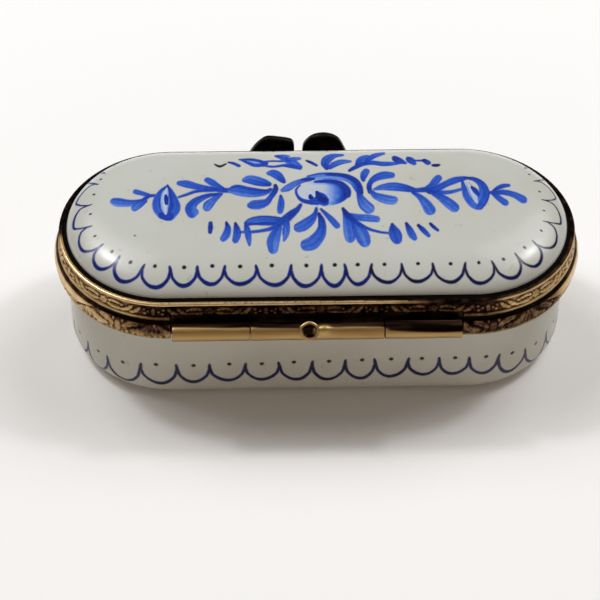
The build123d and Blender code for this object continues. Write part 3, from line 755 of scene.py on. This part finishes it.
def build_lid():
    spacing = 0.16
    columns = outline_columns(spacing, LID_REACH - 1.5)
    side = profile([
        (LID_INSIDE, LID_SEAT, 0, 1),
        (LID_REACH, LID_SEAT, 0.12, 0.6),
        (LID_REACH, LID_SHOULDER, 0, 0.3),
    ])
    # Rows over the crown are even along its curve, not along its reach.
    fine = LID_REACH * np.cos(np.linspace(0, math.pi / 2, 4000))
    length = np.concatenate([[0], np.cumsum(np.hypot(np.diff(fine), np.diff(crown_height(fine))))])
    stations = np.linspace(0, length[-1], int(length[-1] / spacing) + 1)[1:]
    crown_reach = np.interp(stations, length, fine)
    crown_reach[-1] = 0
    crown = np.stack([crown_reach, crown_height(crown_reach)], axis=1)
    inside = profile([
        (0, LID_CEILING, 0, 2),
        (LID_INSIDE, LID_CEILING, 1.6, 1.6),
        (LID_INSIDE, LID_SEAT, 0, 0.7),
    ])
    rows = np.vstack([side, crown, inside])
    grid = sweep(columns, rows)
    outer = len(side) + len(crown)
    painting = Painting(grid[:, :outer, 0], grid[:, :outer, 1], spread=0.07, squash=0.75)
    paint_lid(painting)
    # The border is laid out along the rim and across the shoulder instead of in plan.
    travel = travel_up(rows[:outer])
    border = edge_painting(columns, travel)
    border.ink, border.tone = painting.ink, painting.tone
    cusps = [-48.7, -46.0, -41.0, -36.4, -31.7, -27.8, -23.7, -19.6, -16.1, -12.6, -8.3, -3.9, 0.1,
             3.3, 6.6, 10.7, 14.8, 18.9, 23.1, 27.1, 31.1, 36.3, 41.0, 45.5, 48.8]
    cusps = spaced_cusps(cusps, columns["loop"], 3.7)
    # The ticks start at the first of these reaches, and the swags hang down to the second.
    tip, low = np.interp([-10.4, -12.95], -crown_reach, travel[len(side):])

    # Towards the clasp side the border slips down over the shoulder.
    def slip(s):
        return smoothstep(42.0, 53.0, abs(wrapped(s, columns["loop"])))

    def style(s):
        right = smoothstep(2.0, 10.0, s)
        thin = smoothstep(26.0, 38.0, abs(s))
        lean = -0.2 * smoothstep(27.0, 40.0, abs(s)) * np.sign(s)
        return 0.25 - 0.03 * right - 0.08 * thin, 0.84 + 0.08 * right + 0.02 * thin, lean

    scallop_border(
        border, cusps, columns["loop"],
        lambda s: tip + 2.7 * slip(s),
        lambda s: (low - tip) * (1 - 0.55 * slip(s)),
        style,
    )
    lid = painted_object("lid_porcelain_painted", grid, slice(outer), border, wrap_rows=True)
    finish_piece(lid, "painted", "lid", "painted_porcelain", "lid_porcelain")


def build_bowl():
    spacing = 0.17
    columns = outline_columns(spacing, BOWL_TOP_REACH)
    border_top = PARTING - 8.8
    foot_outer, foot_inner, recess = 11.3, 9.9, 0.8

    def wall(z):
        share = (BOWL_TOP - z) / (BOWL_TOP - BOWL_CORNER)
        return BOWL_TOP_REACH + share * (BOWL_LOW_REACH - BOWL_TOP_REACH)

    foot = profile([
        (0, recess, 0, 2),
        (foot_inner, recess, 0.25, 3),
        (foot_inner, 0, 0.12, 0.4),
        (foot_outer, 0, 0.0, 0.5),
    ])
    turn = np.linspace(0, math.pi / 2, 14)[1:]
    corner = np.stack([
        foot_outer + (BOWL_LOW_REACH - foot_outer) * np.sin(turn) ** 0.9,
        BOWL_CORNER * (1 - np.cos(turn)) ** 0.95,
    ], axis=1)
    levels = np.concatenate([
        np.arange(BOWL_CORNER + 0.15, border_top, 0.15),
        np.linspace(border_top, BOWL_TOP - 0.3, 8),
    ])
    outside = np.stack([wall(levels), levels], axis=1)
    inside_reach = HALF_WIDTH - 4.0
    floor_top = 3.0
    inside = profile([
        (BOWL_TOP_REACH, BOWL_TOP - 0.3, 0, 1),
        (BOWL_TOP_REACH, BOWL_TOP, 0.15, 0.4),
        (inside_reach, BOWL_TOP, 0.15, 1.2),
        (inside_reach, floor_top, 1.5, 1.6),
        (0, floor_top, 0, 1.6),
    ])[1:]
    rows = np.vstack([foot, corner, outside, inside])
    grid = sweep(columns, rows)
    outer = slice(len(foot), len(foot) + len(corner) + len(outside))
    travel = travel_up(rows[outer])
    border = edge_painting(columns, travel)
    cusps = [-33.3, -29.3, -24.3, -19.3, -14.9, -10.1, -5.4, -1.0, 3.5, 7.6, 12.0, 16.3, 20.4, 24.4,
             28.8, 33.3]
    cusps = spaced_cusps(cusps, columns["loop"], 4.3)
    top = np.interp(PARTING - 9.9, rows[outer, 1], travel)

    def dip(s):
        return 1.5 * smoothstep(22.0, 31.0, abs(wrapped(s, columns["loop"])))

    scallop_border(
        border, cusps, columns["loop"],
        lambda s: top + dip(s) - 0.7 * smoothstep(-16.0, 14.0, s),
        lambda s: 3.5,
        lambda s: (0.26 - 0.05 * smoothstep(24.0, 32.0, abs(s)), 0.92, 0.0),
    )
    bowl = painted_object("base_porcelain_painted", grid, outer, border)
    finish_piece(bowl, "painted_bowl", "base", "painted_porcelain", "base_porcelain")
    bowl.data.materials.append(MATERIALS["bisque"])
    for polygon in bowl.data.polygons:
        if polygon.center.z < 0.1 * MM:
            polygon.material_index = 1


# ---- Rims ----

def dome(distance, radius):
    return np.sqrt(np.clip(1 - (distance / radius) ** 2, 0, 1))


def chased_leaf(u, v, points, width, lobes):
    """A curved, lobed leaf with a vein, raised along a path. 0 to 1."""
    path = smooth_path([(a, b, 0.1) for a, b in points], 0.12)[:, :2]
    gap = np.hypot(u[..., None] - path[:, 0], v[..., None] - path[:, 1])
    best = gap.argmin(axis=-1)
    off = np.take_along_axis(gap, best[..., None], -1)[..., 0]
    t = best / (len(path) - 1)
    notch = 0.7 + 0.3 * np.abs(np.sin(math.pi * lobes * t))
    half = width * np.sin(math.pi * (0.08 + 0.84 * t)) ** 0.7 * notch
    share = np.clip(off / half, 0, 1)
    vein = 0.4 * np.exp(-((off / 0.055) ** 2))
    return np.clip(np.sqrt(1 - share**2) * (0.72 + 0.28 * notch) - vein * (share < 1), 0, 1)


def rosette(u, v, u0, v0, size):
    """Six dented petals about a bead."""
    height = np.zeros_like(u)
    for k in range(6):
        a = math.pi * k / 3 + 0.3
        gap = np.hypot(u - u0 - size * math.cos(a), v - v0 - size * math.sin(a))
        height = np.maximum(height, 0.9 * dome(gap, size * 0.62) - 0.3 * dome(gap, size * 0.25))
    return np.maximum(height, dome(np.hypot(u - u0, v - v0), size * 0.48))


LID_LEAVES = [
    ([(0.75, 1.1), (1.7, 0.82), (2.9, 0.86)], 0.42, 4),
    ([(0.8, 1.5), (1.7, 1.78), (2.7, 1.62)], 0.38, 3),
    ([(2.75, 0.72), (3.7, 1.15), (4.3, 1.85)], 0.42, 3),
    ([(3.95, 0.68), (4.8, 1.1), (5.45, 1.85)], 0.42, 3),
    ([(7.3, 0.66), (7.3, 1.2), (7.3, 1.86)], 0.46, 2),
]
LID_BERRIES = [(2.9, 1.5, 0.26), (6.05, 0.95, 0.3), (5.95, 1.6, 0.28), (6.55, 1.28, 0.28)]
LID_REPEATS = 12
BASE_LEAVES = [
    ([(0.8, 1.45), (1.8, 0.68), (3.2, 0.66)], 0.52, 4),
    ([(2.0, 1.55), (3.2, 1.35), (4.4, 0.9)], 0.42, 3),
    ([(0.15, 1.5), (0.3, 1.0), (0.3, 0.4)], 0.3, 2),
    ([(0.4, 1.55), (0.95, 1.05), (1.1, 0.45)], 0.28, 2),
    ([(4.85, 1.5), (4.85, 0.9), (4.85, 0.35)], 0.38, 2),
]
BASE_BERRIES = [(0.0, 1.5, 0.34), (1.75, 0.3, 0.26), (3.75, 0.36, 0.28), (4.3, 1.5, 0.24)]
BASE_SCROLL = (3.95, 0.95)
BASE_REPEATS = 18
BASE_BEADS = 230


def relief(u, v, leaves, berries, scroll=None):
    """One repeat of a chased band, the same on both sides of u = 0. Each leaf is (points, width,
    lobes), each berry (u, v, radius), and a scroll is a ring about its (u, v)."""
    u = np.abs(u)
    height = np.zeros_like(u)
    for leaf in leaves:
        height = np.maximum(height, chased_leaf(u, v, *leaf))
    for u0, v0, radius in berries:
        height = np.maximum(height, 0.95 * dome(np.hypot(u - u0, v - v0), radius))
    if scroll:
        ring = np.hypot(u - scroll[0], v - scroll[1])
        height = np.maximum(height, 0.85 * np.exp(-(((ring - 0.27) / 0.11) ** 2)))
    return height


def repeat(s, loop, count):
    """Distance to the nearest of count evenly spaced centres round the loop."""
    return wrapped(s, loop / count)


def rim_columns(reach):
    """Columns of a rim, with sharp ends for the recess of the hinge leaves."""
    return outline_columns(0.1, reach, (HINGE_X - RECESS_HALF, HINGE_X + RECESS_HALF))


def rim_fields(columns, rows):
    """Arc length, height and how far it faces the hinge side, for each point of a rim."""
    s, facing, v = np.broadcast_arrays(columns["s"][:, None], columns["ny"][:, None], rows[:, 1])
    return s, v, facing


def cut_recess(grid, top):
    """Flatten the hinge side where the leaves are let in."""
    inside = (np.abs(grid[..., 0] - HINGE_X) < RECESS_HALF) & (grid[..., 1] > RECESS_Y) & (grid[..., 2] < top)
    grid[..., 1] = np.where(inside, RECESS_Y, grid[..., 1])
    return inside


def fine_wear(s, v, scale):
    """Small uneven dents of hand chasing."""
    return 0.01 * np.sin(s * 2.1 * scale + 2 * np.sin(v * 3.7)) * np.sin(v * 5.3 * scale + np.sin(s * 1.7))


def patina_and_shade(raised, painted_darkening):
    """How bright the brass is: bright on the relief and darker in its hollows as patina, with painted shade
    round the relief's foot, and dull under painted dark reflection and shade.
    """
    around = sum(np.roll(raised, step, axis) for step in (-2, -1, 1, 2) for axis in (0, 1)) / 8
    # Painted shade: a dark ring round the foot of the relief.
    foot = np.clip(2.4 * around, 0, 1) * np.clip(1 - 3 * raised, 0, 1)
    unshaded = 0.46 + 0.46 * raised**1.5 - 0.5 * foot
    # The level under painted dark reflection and shade.
    shaded = 0.06 + 0.34 * raised**2 - 0.06 * foot
    return unshaded + (shaded - unshaded) * np.clip(painted_darkening, 0, 1)


def build_lid_rim():
    columns = rim_columns(HALF_WIDTH - 0.8)
    height = LID_RIM_HIGH[2] - PARTING
    foot_reach = HALF_WIDTH - 0.6
    top_reach = HALF_WIDTH - 0.95
    bore = HALF_WIDTH - 1.55
    flange = HALF_WIDTH - 4.2
    seat = LID_SEAT - PARTING
    notch = RECESS_TOP - PARTING
    notch_reach = foot_reach - 0.15 * notch
    rows = profile([
        (flange, 0, 0, 1),
        (foot_reach, 0, 0.1, 0.9),
        (notch_reach, notch - 0.004, 0, 0.07),
        (notch_reach, notch + 0.004, 0, 0.07),
        (top_reach, height, 0.22, 0.07),
        (bore, height, 0.16, 0.12),
        (bore, seat, 0, 0.6),
        (flange, seat, 0.1, 1.0),
        (flange, 0, 0, 0.4),
    ])[:-1]
    s, v, facing = rim_fields(columns, rows)
    outer = rows[:, 0] > HALF_WIDTH - 1.2
    band = smoothstep(0.5, 0.58, v) * smoothstep(2.06, 1.96, v)
    u = repeat(s + 0.1 * np.sin(s * 1.1), columns["loop"], LID_REPEATS)
    chased = np.maximum(relief(u, v, LID_LEAVES, LID_BERRIES), rosette(u, v, 0, 1.26, 0.42)) * band
    low_bead = dome(v - 0.26, 0.25)
    top_bead = smoothstep(2.2, 2.3, v)
    raised = np.maximum(np.maximum(chased, low_bead * 0.9), top_bead)
    lift = (RELIEF * (raised - 1) + fine_wear(s, v, 1.0) * (1 - top_bead)) * outer
    grid = sweep(columns, rows, lift)
    grid[..., 2] += PARTING
    recessed = cut_recess(grid, RECESS_TOP)
    # The hollows hold darker patina. Painted dark reflection and shade lie round the hinge and on the clasp
    # side.
    # Painted dark reflection along the straight hinge side. It spares the top bead except over a stretch
    # right of the middle.
    bead_shade_span = np.interp(grid[..., 0], [-24.5, -21.5, -17, -9], [0, 1, 1, 0]) * (facing > 0)
    painted_darkening = smoothstep(0.93, 1.0, facing) * (1 - (0.95 - 0.95 * bead_shade_span) * top_bead)
    far_side = smoothstep(0.32, -0.05, facing)
    painted_darkening = painted_darkening + 0.6 * far_side
    # Painted shade darkens the top bead along its inner edge on the hinge side, over that stretch and on the
    # clasp side.
    inner_edge = (rows[:, 0] < bore + np.interp(grid[..., 0], [-18, 6], [0.5, 0.16])) * (facing > 0) * 0.9
    dark = np.minimum(far_side + bead_shade_span + inner_edge, 1) * top_bead
    land = (rows[:, 0] > bore - 0.05) & (rows[:, 1] > seat + 0.1)
    level = np.where(outer | land, patina_and_shade(raised, painted_darkening) * (1 - 0.98 * dark), 0.6)
    # The recess for the hinge leaves is painted black as shade.
    level = np.where(recessed, PAINTED_SHADE_LEVEL, level)
    rim = grid_object("lid_rim_engraved", grid, {"height": level}, wrap_rows=True)
    finish_piece(rim, "rim", "lid", "gilt_brass", "lid_rim")


def build_base_rim():
    columns = rim_columns(HALF_WIDTH)
    low = RIM_LOW[2] - PARTING
    bulge = -1.5
    edge_reach = HALF_WIDTH - 0.6
    bore = HALF_WIDTH - 1.5
    lip = HALF_WIDTH - 1.68
    flange = HALF_WIDTH - 4.2
    under = BOWL_TOP - PARTING
    below = np.linspace(0, 1, 27)
    above = np.linspace(0, 1, 19)[1:]
    lower = np.stack([HALF_WIDTH - 0.3 * (1 - below) ** 2, low + (bulge - low) * below], axis=1)
    upper = np.stack([HALF_WIDTH - 0.6 * above**2.2, bulge + (-0.1 - bulge) * above], axis=1)
    rest = profile([
        (edge_reach - 0.1, 0, 0, 0.2),
        (flange, 0, 0.1, 1.0),
        (flange, under, 0, 0.5),
        (bore, under, 0, 1.0),
        (bore, low + 0.3, 0, 0.8),
        (lip, low + 0.3, 0, 0.3),
        (lip, low, 0, 0.3),
        (HALF_WIDTH - 0.42, low, 0, 0.3),
    ])
    rows = np.vstack([lower, upper, rest])
    s, v, facing = rim_fields(columns, rows - [0, low])
    outer = np.arange(len(rows)) < len(lower) + len(upper)
    # The leaves climb the whole height beside the hinge.
    climb = 1 + 0.75 * smoothstep(0.6, 0.85, facing)
    band = smoothstep(1.85, 1.65, v / climb)
    u = repeat(s + 2.0 + 0.12 * np.sin(s * 0.9), columns["loop"], BASE_REPEATS)
    chased = relief(u, v / climb, BASE_LEAVES, BASE_BERRIES, BASE_SCROLL) * band
    beads = 0.8 * dome(np.hypot(repeat(s, columns["loop"], BASE_BEADS), v - 0.16), 0.27)
    smooth_band = smoothstep(1.7, 1.85, v / climb) * (1 - 0.35 * smoothstep(3.15, 3.35, v))
    raised = np.maximum(np.maximum(chased, beads), smooth_band)
    ragged = (1 - beads) * smoothstep(0.4, 0.1, v)
    lift = (RELIEF * (raised - 1) - 0.03 + fine_wear(s, v, 0.8) - 0.08 * ragged) * outer
    grid = sweep(columns, rows, lift)
    grid[..., 2] += PARTING + 0.12 * ragged * outer
    recessed = cut_recess(grid, PARTING + 1)
    # Painted dark reflection and shade lie round the hinge, more of it right of the middle, and on the clasp
    # side.
    right = grid[..., 0] < 0
    side = np.where(right, smoothstep(0.5, 0.75, facing), smoothstep(0.8, 1.0, facing))
    side = side * (1 - 0.5 * smoothstep(0.5, 0.2, v)) * np.where(right, 1.0, smoothstep(0.2, 1.5, v))
    painted_darkening = side + 0.5 * smoothstep(0.0, -0.6, facing)
    # Painted shade darkens the top edge of the rim along the parting line.
    level = np.where(outer, patina_and_shade(raised, painted_darkening) - 0.8 * smoothstep(2.75, 2.95, v), 0.6)
    # The recess for the hinge leaves is painted black as shade.
    level = np.where(recessed, PAINTED_SHADE_LEVEL, level)
    rim = grid_object("base_rim_engraved", grid, {"height": level}, wrap_rows=True)
    finish_piece(rim, "rim", "base", "gilt_brass", "base_rim")


# ---- Hinge ----

def tube(name, start, end, bore, phase):
    """A slightly uneven tube along X with rolled ends."""
    around = 96
    stations = profile([
        (bore, start, 0, 1),
        (TUBE_RADIUS, start, 0.14, 0.22),
        (TUBE_RADIUS, end, 0.14, 0.5),
        (bore, end, 0, 0.3),
        (bore, start, 0, 2.0),
    ])[:-1]
    # The turn runs from +Y towards -Z, so that the faces look outwards.
    angle = np.linspace(0, -2 * math.pi, around, endpoint=False)[:, None]
    turn = wrapped(angle, 2 * math.pi)
    x = stations[:, 1]
    outside = stations[:, 0] > TUBE_RADIUS - 0.05
    # Solder stands on the tube beside the eyelet.
    along = (x - EYELET_X + 1.95) / 0.75
    across = TUBE_RADIUS * (turn - EYELET_TILT - 0.15) / 0.62
    solder = np.exp(-along**2 - across**2)
    dent = 0.012 * np.sin(x * 0.9 + phase) * np.sin(phase - 2 * angle) - 0.012
    radius = stations[:, 0] + (dent + 0.3 * solder) * outside
    points = [x + 0 * radius, PIN_Y + radius * np.cos(angle), PIN_Z + radius * np.sin(angle)]
    # Painted shade darkens the upper side, where the tube runs under the lid's rim, and eases off again round
    # the back; the solder is painted bright as a highlight, and the bore and the eyelet hole are painted
    # black as shade.
    lean = np.degrees(turn) + 4 * np.sin(x * 0.4 + phase)
    lean = lean + np.interp(x, [-16, -9, -8, 8, 10], [31, 14, -7, -11, -19])
    level = 0.66 - 0.64 * smoothstep(48, 68, lean) + 0.3 * smoothstep(125, 150, lean) + 0.7 * solder
    in_eyelet = np.hypot(x - EYELET_X, TUBE_RADIUS * (turn - EYELET_TILT)) <= 0.8
    level = np.where(outside & ~in_eyelet, level, PAINTED_SHADE_LEVEL)
    return grid_object(name, np.stack(points, axis=-1), {"height": level}, wrap_rows=True)


def build_hinge():
    pin_radius = 0.5
    right_end, left_end = OUTER_LOW[0], 2 * HINGE_X - OUTER_HIGH[0]
    length = OUTER_HIGH[0] - OUTER_LOW[0]
    for node, start, end, bore, phase, body in (
        ("base_knuckle_right", right_end, right_end + length, pin_radius + 0.05, right_end, "base"),
        ("base_knuckle_left", left_end, left_end + length, pin_radius + 0.05, left_end, "base"),
        ("lid_knuckle", BARREL_LOW[0], BARREL_HIGH[0], pin_radius, 0.4, "lid"),
    ):
        finish_piece(tube(node + "_tube", start, end, bore, phase), "tube", body, "gilt_brass", node)


def build_eyelet():
    """A raised ring on the middle tube, with a skirt down to it."""
    around = 72
    top, ring, hole = 1.42, 1.27, 0.84
    angle = np.linspace(0, 2 * math.pi, around, endpoint=False)
    ca, sa = np.cos(angle), np.sin(angle)
    rings = []
    # The skirt lies on the tube at its foot and rises to the ring's outer wall.
    for share in np.linspace(0, 1, 7):
        spread = (1 - share) ** 1.15
        along = ca * (ring + (np.where(ca < 0, 1.6, 1.45) - ring) * spread)
        across = sa * (ring - 0.02 - 0.4 * spread)
        across = np.clip(across, -TUBE_RADIUS * 0.985, TUBE_RADIUS * 0.985)
        saddle = np.sqrt(TUBE_RADIUS**2 - across**2) - 0.05
        rings.append([along, across, saddle + (top - 0.25 - saddle) * share**1.4])
    wobble = 1 + 0.04 * np.sin(3 * angle + 0.6) + 0.03 * np.sin(5 * angle)
    for radius, height in (
        (ring + 0.03, top - 0.12), (ring - 0.06, top - 0.02), ((ring + hole) / 2, top + 0.03),
        (hole + 0.05, top - 0.04), (hole, top - 0.16), (hole * 0.9, 1.0), (hole * 0.55, 0.8),
    ):
        rings.append([radius * wobble * ca, radius * wobble * sa, height + 0 * ca])
    rings.append([0.02 * ca, 0.02 * sa, 0.74 + 0 * ca])
    frame_of_ring = [
        [1, 0, 0],
        [0, -math.sin(EYELET_TILT), math.cos(EYELET_TILT)],
        [0, math.cos(EYELET_TILT), math.sin(EYELET_TILT)],
    ]
    grid = np.array(rings).transpose(2, 0, 1) @ np.array(frame_of_ring) + [EYELET_X, PIN_Y, PIN_Z]
    # Painted shade: the hole is painted black down to the pin.
    level = np.concatenate([np.linspace(0.7, 0.5, 7), [0.5, 0.75, 0.65, 0.3, 0.05, 0.0, 0.0, 0.0]])
    eyelet = grid_object("pin_lock_eyelet_ring", grid, {"height": np.tile(level, (around, 1))})
    finish_piece(eyelet, "rim", "lid", "gilt_brass", "pin_lock_eyelet")


# ---- Clasp ----

LOBE_SECTION = [
    (0.0, 0.0), (0.6, 0.0), (0.93, 0.0), (0.985, 0.06), (1.0, 0.2), (1.0, 0.75), (0.97, 0.9), (0.9, 1.0),
    (0.8, 1.0), (0.7, 0.9), (0.58, 0.68), (0.45, 0.5), (0.3, 0.4), (0.15, 0.38), (0.0, 0.38),
]


def lobe(points, thickness, dimple, crease):
    """A rounded ribbon loop on the clasp strip: a closed outline in (x, z) with a domed, dimpled
    front. Its section is (share of the outline, share of the thickness)."""
    outline = np.array(points, float)
    steps = np.linspace(0, 1, 9, endpoint=False)[:, None]
    ends = [np.roll(outline, -k, axis=0) for k in (-1, 0, 1, 2)]
    path = np.vstack([spline(*corners, steps) for corners in zip(*ends)])
    centre = path.mean(axis=0)
    rings = []
    for share, depth in LOBE_SECTION:
        x, z = (centre + (path - centre) * share).T
        fold = 0.0
        if depth > 0.3:
            fold = crease * np.sin(6 * np.arctan2(z + 0.6, np.abs(x) + 0.2)) * np.exp(-np.hypot(x, z) / 4)
        if share <= 0.75 and depth:
            depth += (1 - dimple) * (1 - depth) * 0.5
        y = np.maximum(STRIP_LOW[1] - thickness * depth - fold * 0.1, BOW_FRONT + 0.01)
        rings.append([x + CLASP_X, y + 0 * x, z + PARTING])
    return np.array(rings).transpose(2, 0, 1)


def build_bow():
    plus_loop = [(0.3, -2.4), (0.5, 0.4), (0.6, 2.0), (1.3, 2.75), (4.1, 3.25), (5.3, 2.65), (6.5, 1.1),
                 (7.1, -0.6), (6.1, -2.2), (3.2, -2.5)]
    minus_loop = [(-0.3, -2.4), (-0.6, 0.5), (-0.9, 2.1), (-2.1, 3.4), (-3.9, 3.75), (-5.6, 3.0), (-6.5, 1.4),
                  (-7.0, -0.4), (-6.0, -2.1), (-3.2, -2.5)]
    tail = [(0.1, -2.6), (1.2, -2.9), (1.9, -3.6), (2.6, -4.3), (3.9, -5.9), (3.3, -5.75), (2.8, -5.7),
            (2.5, -6.1), (2.2, -6.5), (1.6, -5.5), (1.1, -4.6), (0.6, -3.6)]
    knot = [(-0.95, -3.2), (-0.85, -2.45), (-0.95, -1.7), (0.0, -1.5), (0.95, -1.7), (0.85, -2.45),
            (0.95, -3.2), (0.0, -3.4)]
    points, faces = [], []
    for part in (
        lobe(plus_loop, 1.0, 0.9, 1.0),
        lobe(minus_loop[::-1], 1.0, 0.9, 1.0),
        lobe(tail, 0.7, 0.1, 0.6),
        lobe([(-x, z) for x, z in tail][::-1], 0.7, 0.1, 0.6),
        lobe(knot[::-1], STRIP_LOW[1] - BOW_FRONT, 0.0, 0.8),
    ):
        part_points, part_faces, _ = weld_grid(part)
        faces += [[v + len(points) for v in face] for face in part_faces]
        points += part_points.tolist()
    bow = make_object("clasp_bow_cast", points, faces)
    finish_piece(bow, "black", "lid", "dark_bronze", "clasp_bow")


def finish_frame_nodes():
    """The CAD pieces that stay get their materials."""
    for node, material in {
        "base_cement": "cement",
        "lid_cement": "cement",
        "catch_stud": "tube",
        "base_hinge_leaf": "leaf",
        "lid_hinge_leaf": "leaf",
        "hinge_pin": "steel",
        "clasp_strip": "black",
    }.items():
        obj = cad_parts[node]
        obj.data.materials.clear()
        obj.data.materials.append(MATERIALS[material])


# ---- Stage, light and camera ----

def build_stage():
    size = 3.0
    corners = [(-size, -size, 0), (size, -size, 0), (size, size, 0), (-size, size, 0)]
    mesh = bpy.data.meshes.new("floor")
    mesh.from_pydata(corners, [], [(0, 1, 2, 3)])
    mesh.materials.append(MATERIALS["floor"])
    floor = add_object("floor", mesh)


def area_light(name, direction, distance, width, height, power, colour=(1, 1, 1)):
    """A soft rectangular light that looks at the box."""
    data = bpy.data.lights.new(name, "AREA")
    data.shape = "RECTANGLE"
    data.size, data.size_y = width, height
    data.energy = power
    data.color = colour
    lamp = add_object(name, data)
    aim = Vector(direction).normalized()
    lamp.location = Vector((0, 0, PARTING * MM)) + aim * distance
    lamp.rotation_euler = aim.to_track_quat("Z", "Y").to_euler()


def build_lights():
    """On the clasp side, high to the left and right, a small lamp for the highlight inside a large
    one for the sheen. A wide warm fill is low on the hinge side."""
    area_light("left_spot", (0.48, -0.30, 0.82), 0.60, 0.07, 0.07, 0.7)
    area_light("right_spot", (-0.56, -0.28, 0.78), 0.60, 0.07, 0.07, 0.62)
    area_light("left_softbox", (0.48, -0.34, 0.81), 0.90, 0.55, 0.55, 3.2)
    area_light("right_softbox", (-0.52, -0.36, 0.77), 0.90, 0.55, 0.55, 2.9)
    area_light("front_fill", (0.0, 1.0, 0.32), 0.90, 1.4, 0.5, 1.0, (1.0, 0.7, 0.46))
    world = bpy.data.worlds.new("soft_room")
    world.use_nodes = True
    background = world.node_tree.nodes["Background"]
    background.inputs["Color"].default_value = (1.0, 0.91, 0.83, 1)
    background.inputs["Strength"].default_value = 0.17
    bpy.context.scene.world = world


def build_camera():
    """The camera looks from the hinge side, 45 degrees up, a little from the left end."""
    distance = 0.2457
    elevation = math.radians(44.8)
    swing = 0.05
    roll = 0.023
    aim_off = (0.0087, 0.0355)     # how far the aim lies right of and below the box's middle
    away = Vector((math.sin(swing) * math.cos(elevation), math.cos(swing) * math.cos(elevation),
                      math.sin(elevation)))
    right = -away.cross(Vector((0, 0, 1))).normalized()
    forward = (-away - aim_off[0] * right + aim_off[1] * right.cross(away)).normalized()
    right = forward.cross(right.cross(-away)).normalized()
    up = right.cross(forward)
    tilted_right = math.cos(roll) * right + math.sin(roll) * up
    tilted_up = math.cos(roll) * up - math.sin(roll) * right
    data = bpy.data.cameras.new("camera")
    data.lens = 107.5
    data.sensor_width = 36.0
    data.clip_start = 0.01
    camera = add_object("camera", data)
    matrix = Matrix((tilted_right, tilted_up, -forward)).transposed().to_4x4()
    matrix.translation = Vector((0, 0, PARTING * MM)) + away * distance
    camera.matrix_world = matrix
    bpy.context.scene.camera = camera


build_camera()
build_lights()
build_stage()
build_lid()
build_bowl()
build_lid_rim()
build_base_rim()
build_hinge()
build_eyelet()
build_bow()
finish_frame_nodes()
bpy.context.scene.view_settings.view_transform = "Standard"
